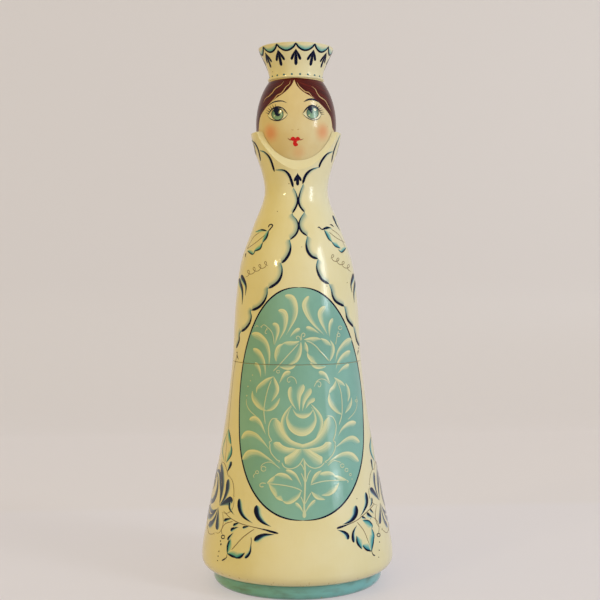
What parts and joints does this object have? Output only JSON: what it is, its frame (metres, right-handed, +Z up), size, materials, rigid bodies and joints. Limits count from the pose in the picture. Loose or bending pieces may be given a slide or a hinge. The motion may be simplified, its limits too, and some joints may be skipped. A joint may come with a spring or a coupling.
{
  "type": "matryoshka doll",
  "caption": "Tall turned wooden doll with a crowned head in a flared collar; its upper half lifts off a spigot and the hollow inside holds a bottle.",
  "frame": {"origin": "centre of the foot's underside, on the surface that the doll stands on", "axes": "+Z up along the axis that the doll is turned on, the face looks along -Y, +X to the viewer's right"},
  "size_m": [0.164, 0.164, 0.4535],
  "materials": {
    "foot_paint": "turned limewood, turquoise paint under gloss lacquer",
    "skirt_paint": "turned limewood, cream paint under gloss lacquer",
    "coat_paint": "turned limewood, cream paint under gloss lacquer",
    "face_paint": "turned limewood, painted face and hair under gloss lacquer",
    "crown_paint": "turned limewood, cream paint under gloss lacquer"
  },
  "bodies": {
    "lower_half": {"foot": "foot_paint", "lower_shell": "skirt_paint"},
    "upper_half": {"upper_shell": "coat_paint", "head": "face_paint", "crown": "crown_paint"}
  },
  "joints": [
    {"name": "upper_lift", "type": "slide", "parent": "lower_half", "child": "upper_half", "axis": [0, 0, 1], "range_m": [0, 0.15]}
  ]
}
